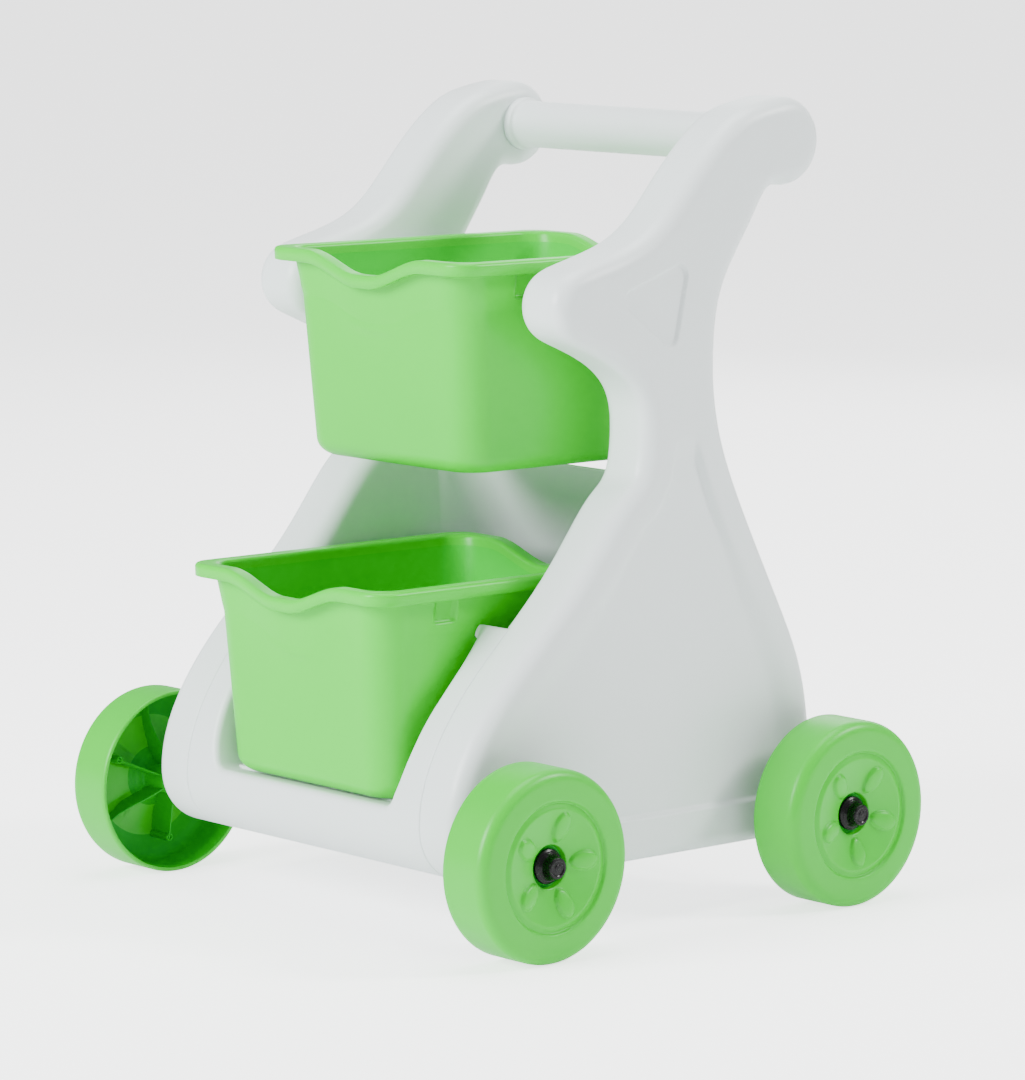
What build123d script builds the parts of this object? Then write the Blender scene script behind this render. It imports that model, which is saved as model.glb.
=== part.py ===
from build123d import *
import os
from math import atan2, cos, degrees, radians, sin

# A toddler's push cart: two hollow side panels joined by a tub and a push bar,
# two lift-out bins, and four wheels on two steel axles.
# Millimetres. X is the cart's width, -Y its front, +Z up.
# The origin is on the ground, midway between the two axles.

os.makedirs("parts", exist_ok=True)

# ---- driving dimensions ----------------------------------------------------

# wheels and axles
wheel_radius = 70.0
wheel_width = 42.0
wheel_shoulder = 7.0          # rounding of the tread's outer edge
wheel_wall = 3.0
wheel_gap = 22.0              # panel's outer face to the back of a wheel
wheelbase = 304.0
axle_diameter = 9.5
running_clearance = 0.05      # radial, wheel hub on axle
fixed_clearance = 0.2         # radial, axle in the panels and spacers
groove_radius = 46.5          # ring groove on the wheel's face
groove_width = 1.5
groove_depth = 2.4
groove_slope = 4.5            # width of the groove's gentle inner side
petal_count = 5
petal_ring_radius = 28.5
petal_size = (2.6, 6.8, 10.8) # half sizes: thickness, width, length
rib_count = 6
rib_thickness = 1.8
rib_step = 6.0                # ribs start this far inside the hub's end
rib_floor = 14.0              # wheel's face to the low end of a rib
rib_turn = 32.5               # degrees from a petal to a rib
post_radius = 3.3             # small tube at the end of every other rib
post_bore = 1.6
post_ring_radius = 47.0
post_end = 27.0               # wheel's face to the free end of a tube
hub_radius = 10.5
hub_length = 29.4
hub_well_radius = 15.5        # sunk middle that takes the cap
hub_well_depth = 12.0
face_dish = 7.0
face_rise = 0.9               # wheel's face to the top of the dish

# side panels: hollow, one outline for both
panel_clearance = 12.0        # bin rim to the panel's inner face
panel_thickness = 50.0
panel_wall = 3.0
panel_edge_radius = 13.5
underside_height = 45.0
shoulder_centre = (-65.5, 454.5)
shoulder_radius = 28.0
grip_centre = (136.0, 567.0)
grip_radius = 33.0
waist_front = (-6.5, 365.0)
waist_rear = (64.5, 408.0)
toe_reach = 38.5              # front foot ahead of its axle
toe_height = 88.0
heel_reach = 17.0             # rear foot behind its axle
heel_height = 100.0
rear_corner_radius = 30.0
recess_margin = 31.0          # border around the shallow recess outside
recess_depth = 4.5
recess_top = 352.0
recess_lift = 32.0            # recess floor above the panel's underside
recess_corner = 5.0
badge_depth = 2.5             # rounded triangle under the shoulder
badge_corners = ((-30.0, 458.0), (31.0, 484.0), (15.0, 416.0))
badge_corner_radius = 8.0
boss_radius = 12.0            # solid posts inside the hollow panels
corner_step = 5.0             # step that keeps the wall full behind the rounded edges
boss_stand_out = 4.0          # axle bosses beyond the panel's outer face

# tub between the panels
apron_height = 225.0          # top of the front apron
apron_depth = 26.0
apron_rear = -60.0            # the apron stays in front of this line
apron_overlap = 10.0          # how far the apron laps over each panel
tub_wall = 4.0
sill_height = 98.5            # deck and bottom of the front cut-out
cutout_clearance = 9.0        # lower bin's body to the side of the front cut-out
cutout_corner = 8.0
cutout_lean = 112.0           # direction of the cut-out's side where it meets the top
back_wall_clearance = 14.5    # back wall's top below the upper bin
back_wall_inset = 8.0
back_flange = 2.2             # side flanges of the back wall
wall_front = 48.0             # front edge of the back wall's side flanges
skirt_depth = 45.5            # flanges under the deck that take the screws
skirt_setback = 22.0          # rear axle to the end of the flanges
back_corner_radius = 24.0
fit_gap = 0.3                 # between mouldings that lie face to face

# push bar
bar_radius = 18.0
collar_radius = 20.5
collar_length = 7.0
spigot_radius = 13.0
spigot_length = 18.0
spigot_play = 1.0             # spigot tip to the end of its socket
collar_edge = 2.0

# bins
bin_height = 156.0
bin_rim_width = 224.0
bin_rim_length = 274.0
bin_wall = 2.6
bin_corner = 23.0             # upright corners of the bin's body
rim_flange = 12.0             # how far the rim stands out from the wall
rim_lip = 9.7
rim_corner = 20.0
rim_dip = 15.0                # depth of the wave at both ends
rim_dip_half_width = 68.0
bin_draft = 7.0               # taper of the side walls, per side
bin_end_draft = 13.0          # taper of the end walls, per end
bin_floor_radius = 10.0
slot_place = 64.0             # recess under the rim, from the bin's middle
slot_width = 19.0
slot_height = 18.0
slot_depth = 3.5
ledge_clearance = 2.0         # ledge to the bin's body
lower_bin_y = -73.0
upper_bin_y = 3.0
ledge_top = 475.8
ledge_length = 104.0
ledge_thickness = 12.0
ledge_edge = 3.0

# small parts
spacer_radius = 10.0
washer_radius = 11.0
washer_thickness = 1.2
cap_flange_radius = 12.8
cap_flange_thickness = 3.0
cap_grip = 9.0                # length of axle inside a cap
cap_nose_radius = 8.0
cap_edge = 1.5
cap_stand_out = 2.0           # cap's nose beyond the wheel's face
screw_radius = 2.5
screw_length = 20.0
screw_head_radius = 5.0
screw_head_height = 3.0
screw_pitch = 72.0            # three screws a side, counted forwards from the rear axle
screw_setback = 48.0          # rear axle to the nearest screw
screw_height = 72.0
beyond = 400.0                # farther out than any part reaches


# ---- where things sit, worked out from the sizes above -------------------------

bin_body_width = bin_rim_width - 2 * rim_flange
bin_body_length = bin_rim_length - 2 * rim_flange
lower_bin_z = sill_height
upper_bin_z = ledge_top - bin_height + rim_lip
back_wall_height = upper_bin_z - back_wall_clearance
ledge_inner_face = bin_body_width / 2 + ledge_clearance
panel_inner_face = bin_rim_width / 2 + panel_clearance
panel_outer_face = panel_inner_face + panel_thickness
boss_face = panel_outer_face + boss_stand_out
seam = panel_inner_face + apron_overlap
tub_side = panel_inner_face - fit_gap
foot_front = (-wheelbase / 2 - toe_reach, toe_height)
foot_rear = (wheelbase / 2 + heel_reach, heel_height)
cutout_half_width = bin_body_width / 2 + cutout_clearance
bin_taper_at_apron = bin_draft * (lower_bin_z + bin_height - apron_height) / bin_height
cutout_top_half_width = bin_body_width / 2 - bin_taper_at_apron + fit_gap
axle_rows = (-wheelbase / 2, wheelbase / 2)
axle_radius = axle_diameter / 2
wheel_outer_face = panel_outer_face + wheel_gap + wheel_width
hub_outer_end = wheel_outer_face - hub_well_depth
hub_inner_end = hub_outer_end - hub_length
washer_face = hub_outer_end + fit_gap
cap_inner_face = washer_face + washer_thickness
screw_seat = tub_side - tub_wall
screw_rows = [wheelbase / 2 - screw_setback - k * screw_pitch for k in range(3)]


# ---- shared helpers --------------------------------------------------------

def on_circle(centre, radius, angle):
    a = radians(angle)
    return (centre[0] + radius * cos(a), centre[1] + radius * sin(a))


def heading(angle):
    return (cos(radians(angle)), sin(radians(angle)))


def between(start, end, share_y, share_z):
    """A point a share of the way from start to end, in Y and in Z."""
    return (start[0] + share_y * (end[0] - start[0]), start[1] + share_z * (end[1] - start[1]))


def outline_face():
    """Side view of a panel: sketch x is the cart's Y, sketch y its Z."""
    nose_top = on_circle(shoulder_centre, shoulder_radius, 108)
    nose_low = on_circle(shoulder_centre, shoulder_radius, 247)
    grip_top = on_circle(grip_centre, grip_radius, 98)
    grip_low = on_circle(grip_centre, grip_radius, 256)
    toe = foot_front[1] - underside_height
    toe_centre = (foot_front[0] + toe, foot_front[1])
    heel = rear_corner_radius
    heel_centre = (foot_rear[0] - heel, underside_height + heel)
    edges = [
        Spline(nose_top, between(nose_top, grip_top, 0.336, 0.197),
               between(nose_top, grip_top, 0.546, 0.56), between(nose_top, grip_top, 0.74, 0.868),
               grip_top, tangents=[heading(18), heading(8)]),
        ThreePointArc(grip_top, on_circle(grip_centre, grip_radius, 0), grip_low),
        Spline(grip_low, between(grip_low, waist_rear, 0.347, 0.142),
               between(grip_low, waist_rear, 0.835, 0.527), waist_rear,
               tangents=[heading(166), heading(-90)]),
        Spline(waist_rear, between(waist_rear, foot_rear, 0.282, 0.344),
               between(waist_rear, foot_rear, 0.694, 0.61), foot_rear,
               tangents=[heading(-90), heading(-88)]),
        Line(foot_rear, on_circle(heel_centre, heel, 0)),
        ThreePointArc(on_circle(heel_centre, heel, 0), on_circle(heel_centre, heel, -45),
                      on_circle(heel_centre, heel, -90)),
        Line(on_circle(heel_centre, heel, -90), on_circle(toe_centre, toe, -90)),
        ThreePointArc(on_circle(toe_centre, toe, -90), on_circle(toe_centre, toe, 225),
                      foot_front),
        Spline(foot_front, between(foot_front, waist_front, 0.033, 0.123),
               between(foot_front, waist_front, 0.285, 0.375),
               between(foot_front, waist_front, 0.688, 0.646),
               between(foot_front, waist_front, 0.91, 0.827), waist_front,
               tangents=[heading(90), heading(90)]),
        Spline(waist_front, between(waist_front, nose_low, 0.257, 0.588), nose_low,
               tangents=[heading(90), heading(157)]),
        ThreePointArc(nose_low, on_circle(shoulder_centre, shoulder_radius, 180), nose_top),
    ]
    return Face(Wire(edges))


outline = outline_face()


def grown(face, amount):
    """A face with its outline moved outwards, redrawn with plain curves."""
    return offset(face, amount).faces()[0].to_splines(degree=3, tolerance=0.01)


def inset(depth):
    """The panel outline moved inwards by a depth."""
    return grown(outline, -depth)


def region(y_low, y_high, z_low, z_high):
    """A rectangle in the side view."""
    size = (y_high - y_low, z_high - z_low)
    centre = ((y_low + y_high) / 2, (z_low + z_high) / 2)
    return Pos(*centre) * Rectangle(*size)


def across(face, x_low, x_high):
    """Extrude a side-view face over the cart's width."""
    return extrude(Plane.YZ.offset(x_low) * face, x_high - x_low, dir=(1, 0, 0))


def rod(x_low, x_high, radius, y, z):
    """A round bar along X."""
    return across(Pos(y, z) * Circle(radius), x_low, x_high)


def mirrored(shape):
    return mirror(shape, Plane.YZ)


def save(shape, name):
    shape.label = name
    export_step(shape, f"parts/{name}.step")



# ---- side panels -----------------------------------------------------------

apron_band = (outline - inset(apron_depth)) & region(-beyond, apron_rear, 0, apron_height)
rebate_band = grown(outline, panel_wall) - inset(apron_depth + fit_gap)
rebate_band &= region(-beyond, apron_rear, 0, apron_height + fit_gap)
rebate_wall = outline - inset(apron_depth + fit_gap + panel_wall)
rebate_wall &= region(-beyond, apron_rear, 0, apron_height + fit_gap + panel_wall)
recess = inset(recess_margin) & region(
    -beyond, beyond, underside_height + recess_lift, recess_top)
recess = fillet(recess.vertices(), recess_corner)
badge = Polygon(*badge_corners, align=None)
badge = fillet(badge.vertices(), badge_corner_radius)


def make_panel():
    """Right-hand panel: a hollow shell with solid posts where things fasten."""
    void_start = panel_inner_face + panel_wall
    void_end = panel_outer_face - recess_depth - panel_wall
    shell = across(outline, panel_inner_face, panel_outer_face)
    shell = fillet(shell.faces().filter_by(Axis.X).edges(), panel_edge_radius)
    shell -= across(recess, panel_outer_face - recess_depth, beyond)
    shell -= across(badge, panel_outer_face - badge_depth, beyond)
    for y in axle_rows:
        shell += rod(void_end, boss_face, boss_radius + panel_wall, y, wheel_radius)
    shell -= across(rebate_band, 0, seam + fit_gap)

    void = across(inset(panel_wall), void_start + corner_step, void_end - corner_step / 2)
    void += across(inset(panel_wall + corner_step), void_start, void_end)
    void -= across(rebate_wall, panel_inner_face, seam + fit_gap + panel_wall)
    posts = [rod(panel_inner_face, panel_outer_face, boss_radius, y, wheel_radius)
             for y in axle_rows]
    posts += [rod(panel_inner_face, panel_inner_face + screw_length, screw_radius + panel_wall,
                  y, screw_height) for y in screw_rows]
    posts.append(rod(panel_inner_face, panel_inner_face + spigot_length + panel_wall,
                     spigot_radius + panel_wall, *grip_centre))
    for post in posts:
        void -= post
    shell -= void

    ledge = across(region(upper_bin_y - ledge_length / 2, upper_bin_y + ledge_length / 2,
                          ledge_top - ledge_thickness, ledge_top),
                   ledge_inner_face, void_start)
    ledge = fillet(ledge.faces().sort_by(Axis.X)[0].edges(), ledge_edge)
    shell += ledge & across(outline, 0, void_start)

    for y in axle_rows:
        shell -= rod(0, beyond, axle_radius + fixed_clearance, y, wheel_radius)
    for y in screw_rows:
        shell -= rod(0, screw_seat + screw_length, screw_radius, y, screw_height)
    shell -= rod(0, panel_inner_face + spigot_length, spigot_radius + fixed_clearance,
                 *grip_centre)
    return shell


panel = make_panel()
save(panel, "side_panel_right")
save(mirrored(panel), "side_panel_left")

# ---- tub: apron, deck and sloping back wall in one moulding ----------------


def make_cutout():
    """Front view of the opening in the apron, sketch x is the cart's X."""
    low = (cutout_half_width - cutout_corner, sill_height)
    side = (cutout_half_width, sill_height + cutout_corner)
    top = (cutout_top_half_width, apron_height)
    over = (cutout_top_half_width, apron_height + beyond)
    edges = [
        Line((0, sill_height), low),
        RadiusArc(low, side, -cutout_corner),
        Spline(side, top, tangents=[heading(90), heading(cutout_lean)]),
        Line(top, over),
        Line(over, (0, over[1])),
        Line((0, over[1]), (0, sill_height)),
    ]
    half = Face(Wire(edges))
    return half + mirror(half, Plane.YZ)


def is_back_corner(edge):
    """An upright edge where the back wall meets a side flange."""
    middle = edge.center()
    upright = edge.bounding_box().size.X < fit_gap and edge.length > back_corner_radius
    return upright and middle.Y > wall_front and middle.Z > sill_height + fit_gap


def make_tub():
    apron = across(apron_band, -seam, seam)
    apron -= extrude(Plane.XZ * make_cutout(), beyond, dir=(0, -1, 0))
    hollow = (inset(tub_wall) - inset(apron_depth - tub_wall)) & region(
        -beyond, apron_rear - tub_wall, 0, apron_height - tub_wall)
    hollow = across(hollow, -seam + tub_wall, seam - tub_wall)
    apron -= hollow - extrude(Plane.XZ * grown(make_cutout(), tub_wall), beyond, dir=(0, -1, 0))

    deck_front = foot_front[0] + apron_depth / 2
    floor_zone = region(deck_front, beyond, sill_height - tub_wall, sill_height)
    tray = across(inset(back_wall_inset) & floor_zone, -tub_side, tub_side)

    wall_zone = region(wall_front, beyond, sill_height - tub_wall, back_wall_height)
    back = across(inset(back_wall_inset) & wall_zone, -tub_side, tub_side)
    room = inset(back_wall_inset + tub_wall) & region(0, beyond, sill_height, beyond)
    core = across(room, back_flange - tub_side, tub_side - back_flange)
    back -= fillet(core.edges().filter_by(is_back_corner), back_corner_radius)

    tub = apron + tray + back
    skirt = region(deck_front + apron_depth, wheelbase / 2 - skirt_setback,
                   sill_height - skirt_depth, sill_height)
    for x_low in (-tub_side, screw_seat):
        tub += across(skirt, x_low, x_low + tub_wall)
    for y in axle_rows:
        tub -= rod(-beyond, beyond, axle_radius + fixed_clearance, y, wheel_radius)
    for y in screw_rows:
        tub -= rod(-beyond, beyond, screw_radius + fixed_clearance, y, screw_height)
    return tub


tub = make_tub()
save(tub, "chassis_tub")

# ---- push bar --------------------------------------------------------------


def make_bar():
    """Hollow bar with a collar and a snap-in spigot at each end."""
    collar = rod(tub_side - collar_length, tub_side, collar_radius, *grip_centre)
    collar = fillet(collar.edges(), collar_edge)
    spigot = rod(0, tub_side + spigot_length - spigot_play, spigot_radius, *grip_centre)
    half = rod(0, tub_side, bar_radius, *grip_centre) + collar + spigot
    bore = rod(-beyond, beyond, spigot_radius - panel_wall, *grip_centre)
    return half + mirrored(half) - bore


save(make_bar(), "handle_bar")

# ---- bins ------------------------------------------------------------------


def slab(width, length, corner, z):
    return Pos(0, 0, z) * RectangleRounded(width, length, corner)


def rim_wave(height):
    """Height line of the rim in front view, dipping in the middle."""
    edge = rim_dip_half_width
    return [
        Line((-bin_rim_width, height), (-edge, height)),
        Spline((-edge, height), (0, height - rim_dip), (edge, height),
               tangents=[(1, 0), (1, 0), (1, 0)]),
        Line((edge, height), (bin_rim_width, height)),
    ]


def wave_band(top, bottom):
    """Everything between two rim lines, right through along Y."""
    ends = [Line((x, top), (x, bottom)) for x in (-bin_rim_width, bin_rim_width)]
    face = Face(Wire(rim_wave(top) + rim_wave(bottom) + ends))
    return extrude(Plane.XZ * face, bin_rim_length, both=True)


def bin_loft(shrink):
    """Tapered inside or outside of the bin; shrink is taken off every wall."""
    corner = bin_corner - shrink
    low = slab(bin_body_width - 2 * (bin_draft + shrink),
               bin_body_length - 2 * (bin_end_draft + shrink), corner, shrink)
    high = slab(bin_body_width - 2 * shrink, bin_body_length - 2 * shrink, corner, bin_height)
    return loft([low.face(), high.face()])


def make_bin():
    body = bin_loft(0)
    body = fillet(body.faces().sort_by(Axis.Z)[0].edges(), bin_floor_radius)
    core = bin_loft(bin_wall)
    core = fillet(core.faces().sort_by(Axis.Z)[0].edges(), bin_floor_radius - bin_wall)
    band = wave_band(bin_height, bin_height - rim_lip)
    below = wave_band(bin_height, -bin_height)
    ring = extrude(slab(bin_rim_width, bin_rim_length, rim_corner, 0), bin_height) & band
    under = extrude(slab(bin_rim_width - 2 * bin_wall, bin_rim_length - 2 * bin_wall,
                         rim_corner - bin_wall, 0), bin_height)
    under &= wave_band(bin_height - bin_wall, 0)
    shell = (body & below) + (ring - under) - core
    slot_middle = bin_height - rim_lip - slot_height / 2
    for side, end in ((-1, -1), (-1, 1), (1, -1), (1, 1)):
        place = Pos(side * bin_body_width / 2, end * slot_place, slot_middle)
        slot = Box(2 * slot_depth, slot_width, slot_height)
        shell += place * offset(slot, bin_wall, kind=Kind.INTERSECTION) & body
        shell -= place * slot
    return shell


bin_shape = make_bin()
lower_bin = Pos(0, lower_bin_y, lower_bin_z) * bin_shape
upper_bin = Pos(0, upper_bin_y, upper_bin_z) * bin_shape
save(lower_bin, "lower_bin")
save(upper_bin, "upper_bin")

# ---- wheels ----------------------------------------------------------------


def wheel_section():
    """Half section of the right-hand wheel: sketch x is the cart's X."""
    back = wheel_outer_face - wheel_width
    face = wheel_outer_face
    dish = face - face_dish
    tread = wheel_radius - wheel_wall
    hub_back = hub_outer_end - wheel_wall
    bore = axle_radius + running_clearance
    points = [
        (face, wheel_radius - wheel_shoulder),
        (face, groove_radius + groove_width),
        (face - groove_depth, groove_radius),
        (face - face_rise, groove_radius - groove_slope),
        (dish, hub_well_radius + wheel_wall / 3),
        (hub_outer_end, hub_well_radius),
        (hub_outer_end, bore),
        (hub_inner_end, bore),
        (hub_inner_end, hub_radius),
        (hub_back, hub_radius),
        (hub_back, hub_well_radius + wheel_wall),
        (dish - wheel_wall, hub_well_radius + 2 * wheel_wall),
        (face - groove_depth - wheel_wall, groove_radius - groove_slope),
        (face - 1.5 * wheel_wall, tread - wheel_shoulder),
        (face - wheel_wall - wheel_shoulder, tread),
        (back, tread),
        (back, wheel_radius),
        (face - wheel_shoulder, wheel_radius),
    ]
    edges = [Line(a, b) for a, b in zip(points, points[1:])]
    edges.append(RadiusArc(points[-1], points[0], wheel_shoulder))
    return Face(Wire(edges))


def make_rib(tip):
    """Upright fin from the hub's end to a tip near the rim; sketch x is the cart's X."""
    face = wheel_outer_face
    rim = wheel_radius - wheel_wall / 2
    floor = face - rib_floor
    web = face - face_dish - wheel_wall / 2
    points = [
        (hub_inner_end + rib_step, hub_radius - rib_thickness / 2),
        (face - tip, post_ring_radius),
        (floor, post_ring_radius + rib_thickness),
        (floor, rim),
        (face - 1.5 * wheel_wall, rim),
        (face - groove_depth - wheel_wall / 2, groove_radius),
        (web, hub_well_radius + 2 * wheel_wall),
        (hub_outer_end - wheel_wall / 2, hub_well_radius + wheel_wall / 2),
        (hub_outer_end - wheel_wall / 2, hub_radius - rib_thickness / 2),
    ]
    fin = Plane.XZ * Face(Polyline(*points, close=True))
    return extrude(fin, rib_thickness / 2, both=True)


def make_wheel(petal_turn):
    """Right-hand wheel about the X axis through the origin, open at the back."""
    wheel = revolve(Plane.XY * wheel_section(), Axis.X)
    face = wheel_outer_face
    web = face - groove_depth - wheel_wall / 2
    for k in range(rib_count):
        turn = Rot(X=360 * k / rib_count + petal_turn + rib_turn)
        has_post = k % 2 == 0
        wheel += turn * make_rib(post_end if has_post else rib_floor)
        if has_post:
            wheel += turn * rod(face - post_end, web, post_radius, 0, post_ring_radius)
            wheel -= turn * rod(face - post_end, web - wheel_wall / 2, post_bore,
                                0, post_ring_radius)
    slope = face_dish - face_rise
    run = groove_radius - groove_slope - hub_well_radius
    lean = degrees(atan2(slope, run))
    rise = slope * (petal_ring_radius - hub_well_radius) / run
    petal = Pos(face - face_dish + rise, 0, petal_ring_radius) * Rot(Y=lean)
    petal *= scale(Sphere(1), by=petal_size)
    turns = [360 * k / petal_count + petal_turn for k in range(petal_count)]
    return wheel + [Rot(X=turn) * petal for turn in turns]


def make_cap(half_axle):
    """Push-on cap: a flange against the washer and a round nose."""
    flange_end = cap_inner_face + cap_flange_thickness
    flange = rod(cap_inner_face, flange_end, cap_flange_radius, 0, 0)
    flange = fillet(flange.edges().sort_by(Axis.X)[-1], cap_edge)
    nose = rod(cap_inner_face, wheel_outer_face + cap_stand_out, cap_nose_radius, 0, 0)
    nose = fillet(nose.edges().sort_by(Axis.X)[-1], cap_edge)
    return flange + nose - rod(0, half_axle, axle_radius, 0, 0)


bore = rod(0, beyond, axle_radius + fixed_clearance, 0, 0)
spacer = rod(boss_face + fit_gap, hub_inner_end - fit_gap, spacer_radius, 0, 0) - bore
washer = rod(washer_face, cap_inner_face, washer_radius, 0, 0) - bore
half_axle = cap_inner_face + cap_grip
cap = make_cap(half_axle)
petal_turns = {"front": -86.5, "rear": -106}
for row, y in zip(("front", "rear"), axle_rows):
    seat = Pos(0, y, wheel_radius)
    save(seat * rod(-half_axle, half_axle, axle_radius, 0, 0), f"{row}_axle")
    pieces = {
        "wheel": make_wheel(petal_turns[row]),
        "axle_spacer": spacer,
        "hub_washer": washer,
        "axle_cap": cap,
    }
    for name, piece in pieces.items():
        save(seat * piece, f"{row}_right_{name}")
        save(mirrored(seat * piece), f"{row}_left_{name}")

# ---- screws: tub to panels -------------------------------------------------


def make_screw():
    """Pan-head screw pointing along +X, head against the skirt's inner face."""
    shank = rod(screw_seat, screw_seat + screw_length, screw_radius, 0, 0)
    head = rod(screw_seat - screw_head_height, screw_seat, screw_head_radius, 0, 0)
    head = fillet(head.edges().sort_by(Axis.X)[0], screw_head_height / 2)
    return shank + head


screw = make_screw()
screws = Compound([Pos(0, y, screw_height) * screw for y in screw_rows])
save(screws, "tub_screws_right")
save(mirrored(screws), "tub_screws_left")
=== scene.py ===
"""A toddler's push cart: white hollow-moulded body, two green bins, four green wheels."""

import bmesh
import bpy
import numpy as np
from math import cos, pi, radians, sin, tau
from mathutils import Matrix, Vector
from mathutils.geometry import delaunay_2d_cdt


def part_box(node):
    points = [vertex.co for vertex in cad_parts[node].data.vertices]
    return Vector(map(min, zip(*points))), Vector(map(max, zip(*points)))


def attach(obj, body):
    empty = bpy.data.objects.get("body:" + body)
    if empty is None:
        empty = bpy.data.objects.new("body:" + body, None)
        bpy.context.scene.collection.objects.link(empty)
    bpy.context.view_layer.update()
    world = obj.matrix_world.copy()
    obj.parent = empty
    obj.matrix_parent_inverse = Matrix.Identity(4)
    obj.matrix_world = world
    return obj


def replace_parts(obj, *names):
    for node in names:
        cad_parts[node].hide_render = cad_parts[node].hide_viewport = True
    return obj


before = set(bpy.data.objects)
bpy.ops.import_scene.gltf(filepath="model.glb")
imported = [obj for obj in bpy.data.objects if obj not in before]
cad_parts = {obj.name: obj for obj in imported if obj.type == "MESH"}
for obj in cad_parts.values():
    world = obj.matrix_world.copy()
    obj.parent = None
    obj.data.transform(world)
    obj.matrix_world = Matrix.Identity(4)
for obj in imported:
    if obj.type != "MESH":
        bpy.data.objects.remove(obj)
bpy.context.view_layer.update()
MM = 0.001

# ---- studio ------------------------------------------------------------------
# A long lens low in front of the cart's right corner, a pale floor that runs out
# of sight, one large soft lamp at the front left and weaker ones right and above.

azimuth, elevation, roll = radians(48.317), radians(7.866), radians(0.304)
stand = (2.7792, -2.4580, 0.7767)
lamp_aim = Vector((0, 0, 0.3))
back = Vector((sin(azimuth) * cos(elevation), -cos(azimuth) * cos(elevation), sin(elevation)))
level = Vector((cos(azimuth), sin(azimuth), 0))
upright = back.cross(level)
right = cos(roll) * level + sin(roll) * upright
up = cos(roll) * upright - sin(roll) * level
lens = bpy.data.cameras.new("view")
lens.lens = 165.96
lens.sensor_width = 36
lens.clip_end = 60
camera = bpy.data.objects.new("view", lens)
camera.matrix_world = (
    Matrix.Translation(stand) @ Matrix((right, up, back)).transposed().to_4x4())
bpy.context.scene.collection.objects.link(camera)
bpy.context.scene.camera = camera

for name, place, size, power, tint in (
        ("key", (-0.5, -3.4, 1.9), 1.6, 250, (0.985, 0.99, 1.0)),
        ("side", (2.3, 2.3, 2.6), 0.8, 125, (1.0, 0.99, 0.97)),
        ("overhead", (0.0, 0.3, 3.4), 2.0, 95, (1.0, 1.0, 1.0)),
        ("rear", (-1.8, 2.8, 1.8), 2.2, 50, (1.0, 1.0, 1.0))):
    light = bpy.data.lights.new(name, "AREA")
    light.size = size
    light.energy = power
    light.color = tint
    lamp = bpy.data.objects.new(name, light)
    lamp.location = place
    lamp.rotation_euler = (Vector(place) - lamp_aim).to_track_quat("Z", "Y").to_euler()
    bpy.context.scene.collection.objects.link(lamp)

world = bpy.data.worlds.new("studio")
world.use_nodes = True
soft = world.node_tree.nodes["Background"]
soft.inputs["Color"].default_value = (0.95, 0.975, 1.0, 1)
soft.inputs["Strength"].default_value = 0.50
bright = world.node_tree.nodes.new("ShaderNodeBackground")
bright.inputs["Color"].default_value = (1, 1, 1, 1)
bright.inputs["Strength"].default_value = 6.0
seen = world.node_tree.nodes.new("ShaderNodeLightPath")
chosen = world.node_tree.nodes.new("ShaderNodeMixShader")
world.node_tree.links.new(seen.outputs["Is Camera Ray"], chosen.inputs[0])
world.node_tree.links.new(soft.outputs[0], chosen.inputs[1])
world.node_tree.links.new(bright.outputs[0], chosen.inputs[2])
world.node_tree.links.new(chosen.outputs[0], world.node_tree.nodes["World Output"].inputs[0])
bpy.context.scene.world = world

# ---- side panels -------------------------------------------------------------
# Two hollow polyethylene mouldings, mirror images, one each side of the bins. The
# edges are fully rounded, the outside is pressed in below the waist, and a small
# rounded triangle is pressed in under the shoulder.


class Value:
    """A socket that plain expressions add, subtract and multiply."""

    def __init__(self, finish, socket):
        self.finish = finish
        self.socket = socket

    def combined(self, operation, first, second):
        return self.finish.node("ShaderNodeMath", {"operation": operation}, {0: first, 1: second})

    def __add__(self, other):
        return self.combined("ADD", self, other)

    def __sub__(self, other):
        return self.combined("SUBTRACT", self, other)

    def __rsub__(self, other):
        return self.combined("SUBTRACT", other, self)

    def __mul__(self, other):
        return self.combined("MULTIPLY", self, other)

    __radd__ = __add__
    __rmul__ = __mul__


class Finish:
    """A material in the making; node() adds any node from its type, settings and sockets."""

    def __init__(self, name):
        self.material = bpy.data.materials.new(name)
        self.material.use_nodes = True
        self.tree = self.material.node_tree
        self.tree.nodes.clear()

    def node(self, kind, settings, values, output=0):
        made = self.tree.nodes.new(kind)
        for key, value in settings.items():
            setattr(made, key, value)
        for key, value in values.items():
            if isinstance(value, Value):
                self.tree.links.new(value.socket, made.inputs[key])
            else:
                made.inputs[key].default_value = value
        return Value(self, made.outputs[output]) if made.outputs else None

    def place(self, centre=(0, 0, 0)):
        """Object coordinates, counted from a centre."""
        where = self.node("ShaderNodeTexCoord", {}, {}, "Object")
        away = tuple(-c for c in centre)
        return self.node("ShaderNodeMapping", {}, {"Vector": where, "Location": away})

    def noise(self, where, scale, detail=2.0, roughness=0.5):
        return self.node("ShaderNodeTexNoise", {}, {
            "Vector": where, "Scale": scale, "Detail": detail, "Roughness": roughness})

    def mix(self, share, first, second):
        """A colour between two, by a share from 0 to 1."""
        return self.node("ShaderNodeMix", {"data_type": "RGBA"}, {0: share, 6: first, 7: second}, 2)

    def bump(self, height, strength, distance, under=None):
        values = {"Height": height, "Strength": strength, "Distance": distance}
        if under:
            values["Normal"] = under
        return self.node("ShaderNodeBump", {}, values)

    def done(self, **sockets):
        values = {key.replace("_", " "): value for key, value in sockets.items()}
        shader = self.node("ShaderNodeBsdfPrincipled", {}, values)
        self.node("ShaderNodeOutputMaterial", {}, {"Surface": shader})
        return self.material


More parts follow.
